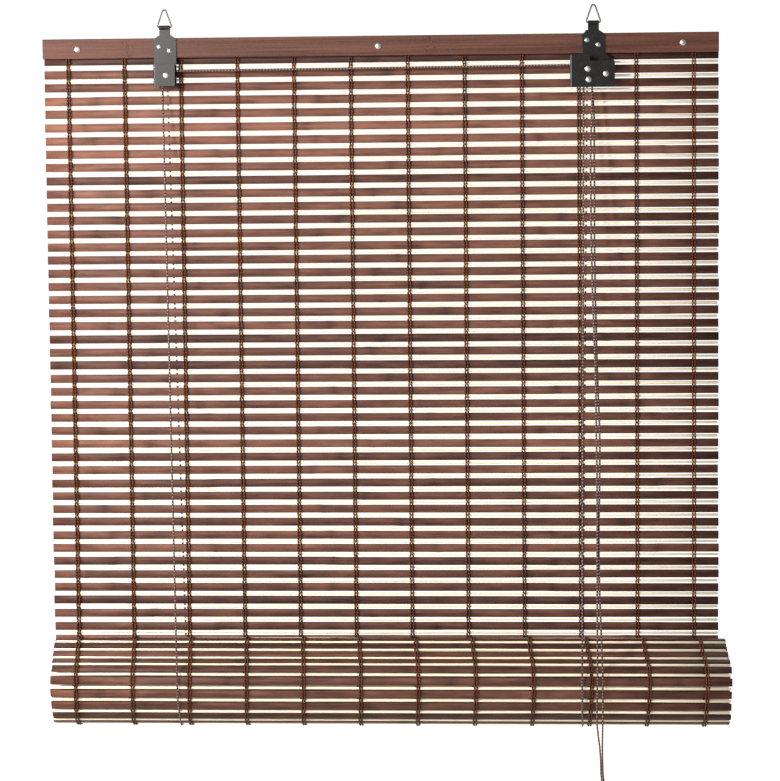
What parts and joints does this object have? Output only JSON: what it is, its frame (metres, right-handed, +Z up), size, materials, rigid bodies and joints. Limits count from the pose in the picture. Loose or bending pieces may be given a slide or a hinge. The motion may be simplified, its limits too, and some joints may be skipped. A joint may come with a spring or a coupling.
{
  "type": "bamboo roll up blind",
  "caption": "Hanging window blind woven from flat bamboo slats and round sticks, rolled up at its lower end on two lift cords with a cord lock.",
  "frame": {"origin": "midway between the two points where the hanging rings sit on their hooks", "axes": "+X right along the headrail seen from the room, +Y towards the window, +Z up"},
  "size_m": [0.809, 0.1253, 0.9688],
  "materials": {
    "bamboo_slat": "stained and varnished split bamboo",
    "bamboo_stick": "bleached bamboo splints",
    "warp_cord": "twisted polyester cord",
    "rail_wood": "stained and varnished wood",
    "black_steel": "black enamelled steel",
    "zinc": "bright zinc plated",
    "pulley_brass": "turned",
    "braid": "braided polyester cord",
    "rolled_weave": "rolled bamboo weave"
  },
  "bodies": {
    "frame": {"headrail_front": "rail_wood", "headrail_back": "rail_wood", "headrail_screws": "zinc", "flat_slats": "bamboo_slat", "flat_sticks": "bamboo_stick", "warp_01": "warp_cord", "warp_02": "warp_cord", "warp_03": "warp_cord", "warp_04": "warp_cord", "warp_05": "warp_cord", "warp_06": "warp_cord", "warp_07": "warp_cord", "warp_08": "warp_cord", "warp_09": "warp_cord", "warp_10": "warp_cord", "warp_11": "warp_cord", "warp_12": "warp_cord", "left_bracket": "black_steel", "left_bracket_screws": "zinc", "left_pulley_rivet": "zinc", "lock_housing": "black_steel", "lock_screws": "zinc", "lock_pulley_rivet": "zinc", "lock_anvil_pin": "zinc", "pawl_rivet": "zinc", "top_cord": "braid", "right_cord_over_pulley": "braid", "left_lift_cord_front": "braid", "left_lift_cord_back": "braid", "right_lift_cord_front": "braid", "right_lift_cord_back": "braid", "back_cord_knots": "braid", "pull_cord_a_upper": "braid", "pull_cord_b_upper": "braid"},
    "left_ring_body": {"left_ring": "black_steel"},
    "right_ring_body": {"right_ring": "black_steel"},
    "left_wheel": {"left_pulley": "pulley_brass"},
    "lock_wheel": {"lock_pulley": "pulley_brass"},
    "pawl_body": {"lock_pawl": "zinc"},
    "cord_cradle": {"left_lift_loop": "braid", "right_lift_loop": "braid", "pull_cord_a_lower": "braid", "pull_cord_b_lower": "braid", "cord_coil": "braid", "cord_ends": "braid", "cord_tie": "braid", "cord_end_knots": "braid"},
    "roll": {"roll_turns": "rolled_weave", "bottom_rail_front": "rail_wood", "bottom_rail_back": "rail_wood", "bottom_rail_slat": "bamboo_slat", "bottom_rail_screws": "zinc"}
  },
  "joints": [
    {"name": "roll_lift", "type": "slide", "parent": "frame", "child": "cord_cradle", "axis": [0, 0, 1], "range_m": [0, 0.64], "deforming": ["flat_slats", "flat_sticks", "warp_01", "warp_02", "warp_03", "warp_04", "warp_05", "warp_06", "warp_07", "warp_08", "warp_09", "warp_10", "warp_11", "warp_12", "left_lift_cord_front", "right_lift_cord_front", "left_lift_cord_back", "right_lift_cord_back", "pull_cord_a_upper", "pull_cord_b_upper", "left_lift_loop", "right_lift_loop"]},
    {"name": "roll_turn", "type": "hinge", "parent": "cord_cradle", "child": "roll", "pos_m": [0, -0.0405, -0.7933], "axis": [-1, 0, 0], "range_deg": [0, 722]},
    {"name": "left_ring_swing", "type": "hinge", "parent": "frame", "child": "left_ring_body", "pos_m": [-0.25325, 0, -0.0197], "axis": [1, 0, 0], "range_deg": [-75, 100]},
    {"name": "right_ring_swing", "type": "hinge", "parent": "frame", "child": "right_ring_body", "pos_m": [0.25325, 0, -0.0197], "axis": [1, 0, 0], "range_deg": [-75, 100]},
    {"name": "left_pulley_spin", "type": "hinge", "parent": "frame", "child": "left_wheel", "pos_m": [-0.2513, -0.003, -0.0762], "axis": [0, 1, 0], "continuous": true},
    {"name": "lock_pulley_spin", "type": "hinge", "parent": "frame", "child": "lock_wheel", "pos_m": [0.2465, -0.0051, -0.0741], "axis": [0, 1, 0], "continuous": true},
    {"name": "pawl_swing", "type": "hinge", "parent": "frame", "child": "pawl_body", "pos_m": [0.2677, -0.0051, -0.08], "axis": [0, -1, 0], "range_deg": [0, 30]}
  ],
  "couplings": [
    {"joint": "roll_turn", "follows": "roll_lift", "rad_per_m": 19.635}
  ]
}
